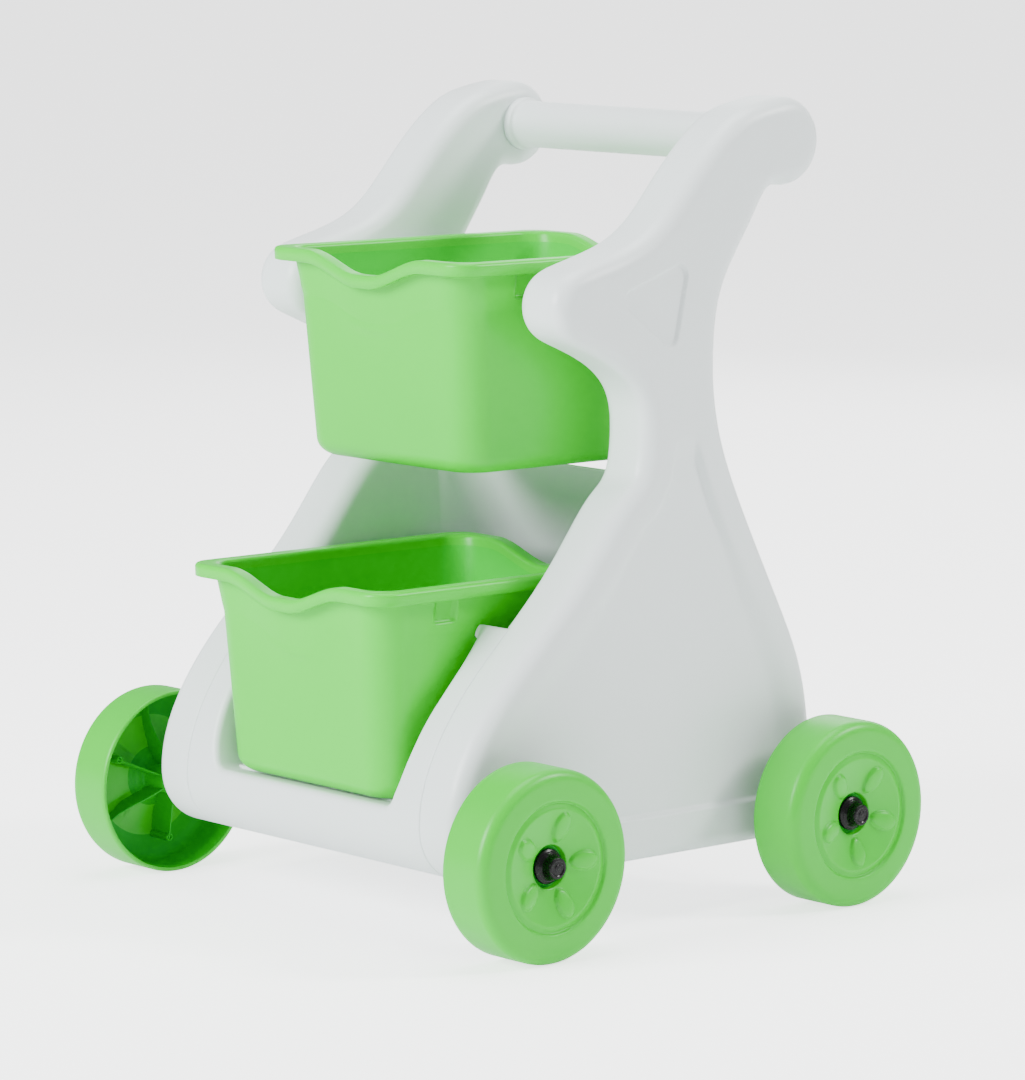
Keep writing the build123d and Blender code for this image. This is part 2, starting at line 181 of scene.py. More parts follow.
def moulded(name, colour, deeper, roughness, peel, sway, gloss=0.5, glow=(0, 0, 0, 1)):
    """Moulded plastic: a faint mottle, an uneven sheen, fine grain and a slow waviness.

    The glow is painted light: an emission that brightens a piece's shaded inside faces.
    """
    finish = Finish(name)
    where = finish.place()
    mottle = finish.noise(where, 9.0, 3.0)
    speck = finish.noise(where, 240.0, 2.0)
    colour = finish.mix(mottle * 0.8 + speck * 0.2, colour, deeper)
    sheen = roughness + (mottle - 0.5) * 0.10 + (speck - 0.5) * 0.06
    waves = finish.bump(finish.noise(where, 26.0, 1.0), 1.0, sway)
    grain = finish.bump(finish.noise(where, 900.0, 2.0, 0.6), 1.0, peel, waves)
    return finish.done(Base_Color=colour, Roughness=sheen, Normal=grain, IOR=1.5,
                       Specular_IOR_Level=gloss, Emission_Color=glow, Emission_Strength=1.0)


white = moulded("white_polyethylene", (0.80, 0.86, 0.86, 1), (0.75, 0.82, 0.81, 1), 0.38,
                0.00003, 0.0006)


def smoothstep(value):
    """A soft step from 0 to 1."""
    value = np.clip(value, 0, 1)
    return value * value * (3 - 2 * value)


def resampled(loop, spacing, soften):
    """A closed line with evenly spaced points, its small flats smoothed away."""
    closed = np.vstack([loop, loop[:1]])
    reach = np.concatenate([[0], np.cumsum(np.linalg.norm(np.diff(closed, axis=0), axis=1))])
    count = int(reach[-1] / spacing)
    stations = np.linspace(0, reach[-1], count, endpoint=False)
    line = np.column_stack([np.interp(stations, reach, closed[:, k]) for k in (0, 1)])
    for _ in range(soften):
        line = line / 2 + (np.roll(line, 1, axis=0) + np.roll(line, -1, axis=0)) / 4
    return line


def edge_loop(node, x):
    """The outermost closed line where a node's wall crosses the plane at x, as (y, z)."""
    work = bmesh.new()
    work.from_mesh(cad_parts[node].data)
    bmesh.ops.remove_doubles(work, verts=work.verts, dist=1e-5)
    parts = work.verts[:] + work.edges[:] + work.faces[:]
    cut = bmesh.ops.bisect_plane(work, geom=parts, dist=1e-6, plane_co=(x, 0, 0),
                                 plane_no=(1, 0, 0))["geom_cut"]
    ends = {}
    for edge in (e for e in cut if isinstance(e, bmesh.types.BMEdge)):
        for a, b in (edge.verts, reversed(edge.verts)):
            ends.setdefault(a, []).append(b)
    widest, best = 0, None
    while ends:
        start = next(iter(ends))
        line, here = [start], start
        while ends.get(here):
            following = ends[here].pop()
            ends[following].remove(here)
            if not ends[here]:
                ends.pop(here)
            here = following
            line.append(here)
        ends.pop(start, None)
        points = np.array([(v.co.y, v.co.z) for v in line])
        area = 0.5 * np.sum(points[:-1, 0] * points[1:, 1] - points[1:, 0] * points[:-1, 1])
        if abs(area) > widest:
            widest, best = abs(area), points[:-1] if area > 0 else points[:0:-1]
    work.free()
    return best


def inward(line):
    """Unit normals of a closed anticlockwise line, pointing into it."""
    along = np.roll(line, -1, axis=0) - np.roll(line, 1, axis=0)
    along /= np.linalg.norm(along, axis=1)[:, None]
    return np.column_stack([-along[:, 1], along[:, 0]])


def distance(points, line, closed=True):
    """Distance of every point to a line."""
    first = line if closed else line[:-1]
    second = np.roll(line, -1, axis=0) if closed else line[1:]
    nearest = np.full(len(points), 1e9)
    step = second - first
    size = np.maximum((step ** 2).sum(axis=1), 1e-18)
    for start in range(0, len(points), 2000):
        some = points[start:start + 2000, None] - first[None]
        share = np.clip((some * step).sum(axis=2) / size, 0, 1)
        gap = np.linalg.norm(some - share[..., None] * step, axis=2)
        nearest[start:start + 2000] = gap.min(axis=1)
    return nearest


def inside(points, line):
    """Whether each point lies within a closed line."""
    following = np.roll(line, -1, axis=0)
    hits = np.zeros(len(points), int)
    for (ay, az), (by, bz) in zip(line, following):
        if az == bz:
            continue
        crosses = (az > points[:, 1]) != (bz > points[:, 1])
        hits += crosses & (points[:, 0] < (by - ay) * (points[:, 1] - az) / (bz - az) + ay)
    return hits % 2 == 1


def rings(line, depths):
    """Copies of a closed line further in, without the stretches that run into each other."""
    found = []
    for depth in depths:
        moved = line + inward(line) * depth
        found.append(moved[abs(distance(moved, line) - depth) < 0.00015])
    return np.vstack(found)


def flat_net(line, depths, spacing, extra):
    """Triangles that fill a closed line: rings near its edge, a grid further in.

    Extra holds more points, each set with the room that the grid leaves round it.
    """
    low, high = line.min(axis=0), line.max(axis=0)
    grid = np.stack(np.meshgrid(*(np.arange(a, b, spacing) for a, b in zip(low, high))), axis=-1)
    grid = grid.reshape(-1, 2)
    grid[:, 0] += (np.round((grid[:, 1] - low[1]) / spacing) % 2) * spacing / 2
    grid = grid[inside(grid, line)]
    grid = grid[distance(grid, line) > depths[-1] + spacing * 0.6]
    for band, room in extra:
        near = np.full(len(grid), 1e9)
        for start in range(0, len(grid), 1000):
            some = grid[start:start + 1000]
            near[start:start + 1000] = np.linalg.norm(
                some[:, None] - band[None], axis=2).min(axis=1)
        grid = grid[near > room]
    points = np.vstack([line, rings(line, depths[1:]), grid] + [band for band, _ in extra])
    net = delaunay_2d_cdt([Vector(p) for p in points], [], [list(range(len(line)))], 1, 1e-7)
    places = np.array([tuple(v) for v in net[0]])
    edge = {}
    for here, sources in enumerate(net[3]):
        for source in sources:
            edge[source] = here
    return places, [tuple(f) for f in net[2]], [edge[k] for k in range(len(line))]


def show(name, mesh, body, slot):
    """A finished mesh as an object that rides on a body."""
    obj = bpy.data.objects.new(name, mesh)
    bpy.context.scene.collection.objects.link(obj)
    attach(obj, body)
    return obj


def piece(name, vertices, faces, material, body, slot):
    """A finished object from vertices in metres, its faces turned outwards."""
    work = bmesh.new()
    made = [work.verts.new(v) for v in vertices]
    for face in faces:
        work.faces.new([made[k] for k in face])
    bmesh.ops.recalc_face_normals(work, faces=work.faces)
    mesh = bpy.data.meshes.new(name)
    work.to_mesh(mesh)
    work.free()
    mesh.shade_smooth()
    mesh.materials.append(material)
    return show(name, mesh, body, slot)


def closed_sheet(net, top, bottom):
    """Vertices and faces of a plate from a flat net and its two surfaces."""
    places, triangles, edge = net
    count = len(places)
    vertices = np.vstack([top, bottom])
    faces = [tuple(f) for f in triangles]
    faces += [tuple(k + count for k in reversed(f)) for f in triangles]
    for a, b in zip(edge, edge[1:] + edge[:1]):
        faces.append((b, a, a + count, b + count))
    return vertices, faces


def rounded(depth, radius):
    """How far a rounded edge has fallen at a depth from the rim."""
    short = np.clip(radius - depth, 0, radius)
    return radius - np.sqrt(np.maximum(radius ** 2 - short ** 2, 0))


panel_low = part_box("side_panel_right")[0]
panel_edge = 13.5 * MM
panel_inner, panel_outer = 124 * MM, 174 * MM
outline = resampled(edge_loop("side_panel_right", (panel_inner + panel_outer) / 2), 2.5 * MM, 6)
quarter = [panel_edge * (1 - cos(radians(a))) for a in range(0, 91, 10)]

recess_depth = 4.5 * MM
recess_margin = 29 * MM         # border round the pressed-in part
recess_foot = panel_low[2] + 32 * MM
recess_head = 358 * MM
badge = np.array([(-22.5, 458.2), (22.5, 473.5), (13.5, 430.5)]) * MM
badge_round = 8 * MM
badge_depth = 2.5 * MM
badge_slope = 2.4 * MM


def badge_distance(points):
    """Distance from the pressed triangle's rounded outline, negative within it."""
    apart = distance(points, badge)
    return np.where(inside(points, badge), -apart, apart) - badge_round


def recess(points, depth):
    """How far the outside is pressed in: crisp at the foot and beside the waist, soft elsewhere."""
    height = points[:, 1]
    slope = (5 + 17 * smoothstep((330 * MM - height) / (150 * MM))) * MM
    side = smoothstep((depth - recess_margin) / slope + 0.5)
    foot = smoothstep((height - recess_foot) / (3.2 * MM))
    head = smoothstep((recess_head - height) / (22 * MM))
    triangle = smoothstep(0.5 - badge_distance(points) / badge_slope)
    return recess_depth * side * foot * head + badge_depth * triangle


# rows of points along each crease, so that the net's edges follow it
corner_angles = np.linspace(0, tau, 90, endpoint=False)
circle = np.column_stack([np.cos(corner_angles), np.sin(corner_angles)])
badge_rows = (-2.0, -1.0, 0.0, 1.0, 2.0)
badge_rings = np.vstack([
    (badge[:, None] + circle[None] * (badge_round + off * MM)).reshape(-1, 2)
    for off in badge_rows])
spread = np.linspace(0, 1, 16)[1:-1]
for off in badge_rows:
    for a, b in ((0, 1), (1, 2), (2, 0)):
        run = badge[b] - badge[a]
        side = np.array((-run[1], run[0])) / np.linalg.norm(run) * (badge_round + off * MM)
        for sign in (-1, 1):
            badge_rings = np.vstack([badge_rings, badge[a] + run * spread[:, None] + sign * side])
near_badge = badge_distance(badge_rings)
badge_rings = badge_rings[abs(near_badge / MM - np.round(near_badge / MM)) < 0.12]
badge_rings = badge_rings[abs(badge_distance(badge_rings)) < 2.3 * MM]
crease = rings(outline, [(26.5 + 1.25 * k) * MM for k in range(9)])
crease = crease[(crease[:, 1] < 360 * MM) & (crease[:, 1] > recess_foot + 5 * MM)]
foot_y = np.arange(-0.16, 0.16, 2.5 * MM)
foot_rows = np.vstack([
    np.column_stack([foot_y, np.full(len(foot_y), recess_foot + off * MM)])
    for off in (-1.0, 0.0, 0.8, 1.6, 2.4, 3.2, 4.2)])
foot_rows = foot_rows[inside(foot_rows, outline)]
foot_rows = foot_rows[distance(foot_rows, outline) > panel_edge + 1.5 * MM]
net = flat_net(outline, quarter, 3.0 * MM, [
    (badge_rings, 1.2 * MM), (crease, 1.5 * MM), (foot_rows, 1.6 * MM)])
depth = distance(net[0], outline)
depth[net[2]] = 0
fall = rounded(depth, panel_edge)
outside = panel_outer - fall - recess(net[0], depth)
within = panel_inner + fall
panel_vertices, panel_faces = closed_sheet(
    net, np.column_stack([outside, net[0]]), np.column_stack([within, net[0]]))


def block(low, high, edge):
    """Vertices and faces of a box with rounded edges."""
    work = bmesh.new()
    bmesh.ops.create_cube(work, size=1)
    size = np.subtract(high, low)
    for vertex in work.verts:
        vertex.co = Vector(np.add(low, (np.array(vertex.co) + 0.5) * size))
    bmesh.ops.bevel(work, geom=work.edges[:], offset=edge, segments=3, profile=0.5,
                    affect="EDGES", clamp_overlap=True)
    vertices = np.array([tuple(v.co) for v in work.verts])
    work.verts.index_update()
    faces = [tuple(v.index for v in f.verts) for f in work.faces]
    work.free()
    return vertices, faces


def joined(*shells):
    """Several closed shells as one list of vertices and faces."""
    vertices, faces = [], []
    for some, polygons in shells:
        shift = sum(len(v) for v in vertices)
        vertices.append(np.asarray(some))
        faces += [tuple(k + shift for k in f) for f in polygons]
    return np.vstack(vertices), faces


ledge = block((102 * MM, -49 * MM, 463.8 * MM), (panel_inner + 2 * MM, 55 * MM, 475.8 * MM), 3 * MM)


def turned(profile, segments, seat, relief=None):
    """A shape spun about a line along X from (x, radius) pairs; relief is added to x."""
    angles = np.linspace(0, tau, segments, endpoint=False)
    profile = np.asarray(profile, float)
    x = np.repeat(profile[:, 0], segments)
    radius = np.repeat(profile[:, 1], segments)
    angle = np.tile(angles, len(profile))
    if relief is not None:
        x = x + relief(x, radius, angle)
    vertices = np.column_stack(
        [x, seat[1] + radius * np.cos(angle), seat[2] + radius * np.sin(angle)])
    faces = []
    for row in range(len(profile) - 1):
        for k in range(segments):
            a, b = row * segments + k, row * segments + (k + 1) % segments
            faces.append((a, b, b + segments, a + segments))
    return vertices, faces


def capped(shell, segments):
    """Closes both ends of a turned shape."""
    vertices, faces = shell
    last = len(vertices) - segments
    ends = [tuple(range(segments))[::-1], tuple(range(last, last + segments))]
    return vertices, faces + ends


wheel_names = [f"{row}_{side}" for row in ("front", "rear") for side in ("left", "right")]


def middle(node):
    """The middle of a node's box."""
    low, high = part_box(node)
    return (np.array(low) + np.array(high)) / 2


boss_line = [(x * MM, r * MM) for x, r in (
    (165, 15.5), (175, 15.5), (176.9, 15.0), (177.7, 14.2), (178, 13), (178, 5), (165, 5),
    (165, 15.5))]
bosses = [turned(boss_line, 64, middle(f"{row}_right_wheel")) for row in ("front", "rear")]
panel_shell = joined((panel_vertices, panel_faces), ledge, *bosses)


def mirrored(vertices):
    """The same vertices on the cart's other side."""
    return np.asarray(vertices) * (-1, 1, 1)


# ---- front apron -------------------------------------------------------------
# The tub's front, in the same polyethylene: a deep lip that follows the panels' front
# edge and wraps under at the bottom, with a U-shaped opening for the lower bin.

tub_low, tub_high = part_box("chassis_tub")
apron_top = tub_low[2] + 180 * MM
apron_deep = 26 * MM
apron_rear = -60 * MM           # where the wrapped-under part ends
sill = 98.5 * MM
seam = tub_high[0]
seam_gap = 0.35 * MM

# the panels' front edge, from under the toe to the apron's top, and its outward normals
toe_start = np.argmin(np.hypot(outline[:, 0] - apron_rear, outline[:, 1] - panel_low[2]))
front_run = np.roll(outline, -toe_start, axis=0)
if front_run[20, 0] > front_run[0, 0]:
    front_run = np.roll(front_run[::-1], 1, axis=0)
front_run = front_run[:int(np.argmax(front_run[:, 1] > apron_top)) + 6]
run_reach = np.concatenate([[0], np.cumsum(np.linalg.norm(np.diff(front_run, axis=0), axis=1))])
run_along = np.gradient(front_run, run_reach, axis=0)
run_along /= np.linalg.norm(run_along, axis=1)[:, None]
run_out = np.column_stack([-run_along[:, 1], run_along[:, 0]])
if run_out[len(run_out) // 2, 0] > 0:
    run_out = -run_out


def reach_at(height):
    """Length along the front edge, from its rear end below, to a height."""
    rising = run_reach > 40 * MM
    return float(np.interp(height, front_run[rising, 1], run_reach[rising]))


def on_front(points, height):
    """Places (x, reach) with a height above the front edge's surface."""
    line = [np.interp(points[:, 1], run_reach, front_run[:, k]) for k in (0, 1)]
    out = [np.interp(points[:, 1], run_reach, run_out[:, k]) for k in (0, 1)]
    return np.column_stack([points[:, 0], line[0] + out[0] * height, line[1] + out[1] * height])


# the opening's half width at a few heights, in millimetres, then made smooth
cut_heights = np.array([106.5, 116, 125, 140, 155, 178, 192, 205, 215, apron_top / MM])
cut_widths = np.array([101, 104.3, 106, 108, 109, 109, 107.5, 105, 102, 99.0])
cut_side = np.array([(w * MM, reach_at(h * MM)) for h, w in zip(cut_heights, cut_widths)])
dense = np.linspace(0, 1, 60)
order = np.linspace(0, 1, len(cut_side))
cut_side = np.column_stack([np.interp(dense, order, cut_side[:, k]) for k in (0, 1)])
for _ in range(12):
    cut_side[1:-1] = cut_side[1:-1] / 2 + (cut_side[:-2] + cut_side[2:]) / 4
sill_reach, top_reach = reach_at(sill), reach_at(apron_top)
cut_corner = 9 * MM
bend = [(cut_side[0, 0] - cut_corner * (1 - cos(a)), sill_reach + cut_corner * (1 + sin(a)))
        for a in np.linspace(-pi / 2, -0.25, 10)]
half_cut = np.vstack([bend, cut_side[2:]])
end_round = 10 * MM             # the apron's two upper ends, beside the opening
seam_round = 2 * MM             # the same ends, beside the panels
horn_in = [(half_cut[-1, 0] + end_round * (1 - cos(a)), top_reach - end_round * (1 - sin(a)))
           for a in np.linspace(0, pi / 2, 10)]
horn_out = [(seam - seam_round * (1 - cos(a)), top_reach - seam_round * (1 - sin(a)))
            for a in np.linspace(pi / 2, 0, 4)]
half_cut = half_cut[half_cut[:, 1] < top_reach - end_round]
right_side = np.vstack([half_cut, horn_in, horn_out, [(seam, 0.0)]])
left_side = right_side[::-1] * (-1, 1)
apron_line = resampled(np.vstack([right_side, left_side]), 2.0 * MM, 0)[::-1]
cut_line = np.vstack([half_cut[::-1] * (-1, 1), half_cut])
edge_rows = [s * MM for s in (0, 0.25, 0.8, 1.6, 2.6, 3.8, 5.2, 6.8, 8.6, 10.6, 12.6)]
apron_net = flat_net(apron_line, edge_rows, 3.0 * MM, [])
flat = apron_net[0]
heights = np.interp(flat[:, 1], run_reach, front_run[:, 1])
from_cut = distance(flat, cut_line[::-1], False)
from_top = np.clip(top_reach - flat[:, 1], 0, 1)
from_seam = np.clip(seam - abs(flat[:, 0]), 0, 1)
cut_round = (5 + 8 * smoothstep((heights - 150 * MM) / (60 * MM))) * MM
apron_fall = np.maximum.reduce([
    rounded(from_cut, cut_round), rounded(from_top, 6 * MM), rounded(from_seam, 1.2 * MM)])
from_edge = distance(flat, apron_line)
from_edge[apron_net[2]] = 0
front = on_front(flat, -apron_fall)
rear = on_front(flat, -apron_deep + rounded(from_edge, 2 * MM))
apron = piece("front_apron", *closed_sheet(apron_net, front, rear), white, "frame", "body_white")



def settled(obj):
    """The plain mesh of an object with its modifiers run."""
    return bpy.data.meshes.new_from_object(
        obj.evaluated_get(bpy.context.evaluated_depsgraph_get()))


# the panels are cut back where the apron laps over them
spare = 4 * MM
rebate_x = (panel_inner - spare, seam + seam_gap)
rebate_reach = (-spare, top_reach + seam_gap)
rebate_line = np.array([(rebate_x[0], rebate_reach[0]), (rebate_x[1], rebate_reach[0]),
                        (rebate_x[1], rebate_reach[1]), (rebate_x[0], rebate_reach[1])])
rebate_net = flat_net(resampled(rebate_line, 4 * MM, 0), [0, 2 * MM], 4 * MM, [])
ahead = on_front(rebate_net[0], np.full(len(rebate_net[0]), spare))
behind = on_front(rebate_net[0], np.full(len(rebate_net[0]), -apron_deep - seam_gap))
rebate = piece("apron_rebate", *closed_sheet(rebate_net, ahead, behind), white, "frame",
               "body_white")
right_panel = piece("right_side_panel", *panel_shell, white, "frame", "body_white")
cut = right_panel.modifiers.new("rebate", "BOOLEAN")
cut.object = rebate
cut.solver = "EXACT"
mesh = settled(right_panel)
right_panel.modifiers.clear()
right_panel.data = mesh
bpy.data.objects.remove(rebate)
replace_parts(right_panel, "side_panel_right")

left_vertices = mirrored([tuple(v.co) for v in mesh.vertices])
left_panel = piece("left_side_panel", left_vertices, [tuple(p.vertices) for p in mesh.polygons],
                   white, "frame", "body_white")
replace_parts(left_panel, "side_panel_left")

# ---- deck and back wall ------------------------------------------------------
# The rest of the tub: a flat deck with a flange down each side, and a wall behind that
# slopes with the panels' rear edge and turns into them with wide round corners.

tub_side = panel_inner - 0.3 * MM
wall = 4 * MM
wall_inset = 8 * MM             # the wall stands inside the panels' rear edge
wall_bend = 24 * MM
wall_front = 48 * MM            # front edge of the wall's side flanges
rear_run = outline[(outline[:, 0] > 0) & (outline[:, 1] < 420 * MM)]
rear_in = inward(outline)[(outline[:, 0] > 0) & (outline[:, 1] < 420 * MM)]
shown = (rear_in[:, 0] < -0.5) & (rear_run[:, 1] > 60 * MM)
rear_run, rear_in = rear_run[shown], rear_in[shown]
rising = np.argsort(rear_run[:, 1])
rear_run, rear_in = rear_run[rising], rear_in[rising]


def rear_y(height, inset):
    """The back wall's Y at a height, a distance inside the panels' rear edge."""
    moved = rear_run + rear_in * inset
    return float(np.interp(height, moved[:, 1], moved[:, 0]))


def wall_section(height, trim):
    """Plan of the back wall and its side flanges, which thin out towards the front."""
    outer_y = rear_y(height, wall_inset) - trim
    inner_y = rear_y(height, wall_inset + wall) + trim
    front_y = wall_front + trim
    outer_x = panel_inner + 1.5 * MM
    inner_x = tub_side - 2.2 * MM + trim * 0.4
    feather_x = panel_inner + 0.15 * MM
    outer = [(outer_x, front_y), (outer_x, (front_y + outer_y) / 2), (outer_x, outer_y - 2 * MM),
             (outer_x - 0.6 * MM, outer_y - 0.6 * MM), (outer_x - 2 * MM, outer_y)]
    outer += [(x, outer_y) for x in np.linspace(outer_x - 20 * MM, 0, 8)]
    inner = [(x, inner_y) for x in np.linspace(0, inner_x - wall_bend, 8)[:-1]]
    inner += [(inner_x - wall_bend * (1 - sin(a)), inner_y - wall_bend * (1 - cos(a)))
              for a in np.linspace(0, pi / 2, 10)]
    inner += [(feather_x - (feather_x - inner_x) * smoothstep(t),
               front_y + (inner_y - wall_bend - front_y) * t) for t in np.linspace(0.93, 0, 14)]
    mirror_outer = [(-x, y) for x, y in outer[::-1]][1:]
    mirror_inner = [(-x, y) for x, y in inner[::-1]][:-1]
    return [(x, y, height) for x, y in outer + mirror_outer + mirror_inner + inner]


def skin(loops):
    """Closed shape through loops of equal length, with flat ends."""
    size = len(loops[0])
    vertices = np.vstack(loops)
    faces = []
    for row in range(len(loops) - 1):
        for k in range(size):
            a, b = row * size + k, row * size + (k + 1) % size
            faces.append((a, b, b + size, a + size))
    last = (len(loops) - 1) * size
    return vertices, faces + [tuple(range(size))[::-1], tuple(range(last, last + size))]


wall_top = tub_high[2]
levels = list(np.linspace(sill - wall, wall_top - 1.6 * MM, 40))
sections = [wall_section(z, 0) for z in levels]
sections += [wall_section(wall_top - 0.5 * MM, 0.3 * MM), wall_section(wall_top, 0.9 * MM)]
back_wall = piece("back_wall", *skin(sections), white, "frame", "body_white")

deck_front = -169 * MM
skirt_front, skirt_rear, skirt_foot = -150 * MM, 130 * MM, 53 * MM
shells = [block((-tub_side, deck_front, sill - wall), (tub_side, rear_y(sill, 9 * MM), sill), 0.8 * MM)]
for side in (-1, 1):
    low_x, high_x = sorted((side * tub_side, side * (tub_side - wall)))
    shells.append(block((low_x, skirt_front, skirt_foot), (high_x, skirt_rear, sill - 1 * MM), 1 * MM))
deck = piece("deck", *joined(*shells), white, "frame", "body_white")
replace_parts(deck, "chassis_tub")
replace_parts(apron, "chassis_tub")
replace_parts(back_wall, "chassis_tub")

# ---- push bar ----------------------------------------------------------------
# A round bar of the same polyethylene between the arms' ends. It has a collar against
# each arm, and a spigot beyond it that sits in a socket in the arm.

bar_radius, collar_radius, spigot_radius = 18, 20.5, 13
bar_end = panel_inner / MM
bar_line = [(0, bar_radius), (bar_end - 9, bar_radius), (bar_end - 7.6, bar_radius + 0.3),
            (bar_end - 6.9, collar_radius - 1.1), (bar_end - 6, collar_radius - 0.3),
            (bar_end - 4.6, collar_radius), (bar_end - 0.3, collar_radius),
            (bar_end - 0.3, spigot_radius), (bar_end + 16, spigot_radius)]
bar_line = [(-x, r) for x, r in bar_line[:0:-1]] + bar_line
bar_shell = turned([(x * MM, r * MM) for x, r in bar_line], 96, middle("handle_bar"))
bar = piece("push_bar", *capped(bar_shell, 96), white, "frame", "body_white")
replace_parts(bar, "handle_bar")

# ---- bins --------------------------------------------------------------------
# Two equal injection-moulded polypropylene bins with draft on every wall. The rim is
# turned over into a lip, dips in a wave at both ends, and the wall flares out below
# it. Four shallow pockets under the rim, two a side, hold the bin on its ledges.

bin_green = moulded("green_polypropylene", (0.030, 0.66, 0.014, 1), (0.024, 0.60, 0.010, 1), 0.36,
                    0.00002, 0.0002, 0.32)
# The bins' inside faces get a copy of the same plastic: a slightly darker, less red colour as painted
# shade, and a faint emission as painted glow.
painted_glow_bin_inside = moulded("green_polypropylene_inside_painted_glow", (0.002, 0.60, 0.020, 1),
                       (0.002, 0.55, 0.016, 1), 0.42, 0.00002, 0.0002, 0.15, (0.0, 0.035, 0.004, 1))


def round_box(width, length, corner, per_side, per_end, per_corner):
    """Evenly divided plan of a rounded rectangle, anticlockwise."""
    half = np.array((width / 2 - corner, length / 2 - corner))
    signs = ((1, 1), (-1, 1), (-1, -1), (1, -1))
    plan = []
    for quadrant, sign in enumerate(signs):
        start = quadrant * pi / 2
        arc = start + np.linspace(0, pi / 2, per_corner, endpoint=False)
        plan.append(sign * half + corner * np.column_stack([np.cos(arc), np.sin(arc)]))
        last = corner * np.array((cos(start + pi / 2), sin(start + pi / 2)))
        tip = sign * half + last
        goal = signs[(quadrant + 1) % 4] * half + last
        count = per_end if quadrant % 2 == 0 else per_side
        share = np.linspace(0, 1, count, endpoint=False)[:, None]
        plan.append(tip + (goal - tip) * share)
    return np.vstack(plan)


rim_width, rim_length, bin_height = 224 * MM, 274 * MM, 156 * MM
bin_wall = 2.6 * MM
bin_corner, inner_corner, rim_corner = 24 * MM, 21.4 * MM, 20 * MM
foot_round = 12 * MM            # under the bin, where the walls meet the floor
floor_round = 9.4 * MM          # the same place inside
flange, lip = 12 * MM, 9.7 * MM
lip_round, mouth_round = 3.2 * MM, 3 * MM
dip, dip_flat, dip_end = 15 * MM, 7 * MM, 66 * MM
draft, end_draft = 7 * MM, 13 * MM
pocket_place, pocket_half, pocket_depth = 64 * MM, 10.2 * MM, 3 * MM


def wave(x):
    """How far the rim's ends dip."""
    return -dip * (1 - smoothstep((abs(x) - dip_flat) / (dip_end - dip_flat)))


def follows(z):
    """How much of the wave the wall takes up at a height in millimetres."""
    return smoothstep((z - 70) / 60)


def bin_ring(height, inset, outset, follow, corner, pocket=0.0):
    """One level of a bin: its plan, drafted for the height, moved in or out."""
    share = 1 - height / bin_height
    width = rim_width - 2 * flange - 2 * draft * share - 2 * inset + 2 * outset
    length = rim_length - 2 * flange - 2 * end_draft * share - 2 * inset + 2 * outset
    plan = round_box(width, length, corner, 110, 80, 14)
    z = height + follow * wave(plan[:, 0])
    if pocket:
        sides = abs(plan[:, 0]) > width / 2 - 0.2 * MM
        near = abs(abs(plan[:, 1]) - pocket_place)
        push = pocket * smoothstep((pocket_half - near) / (1.6 * MM)) * sides
        plan = plan - np.column_stack([np.sign(plan[:, 0]) * push, np.zeros(len(plan))])
    return np.column_stack([plan, z])


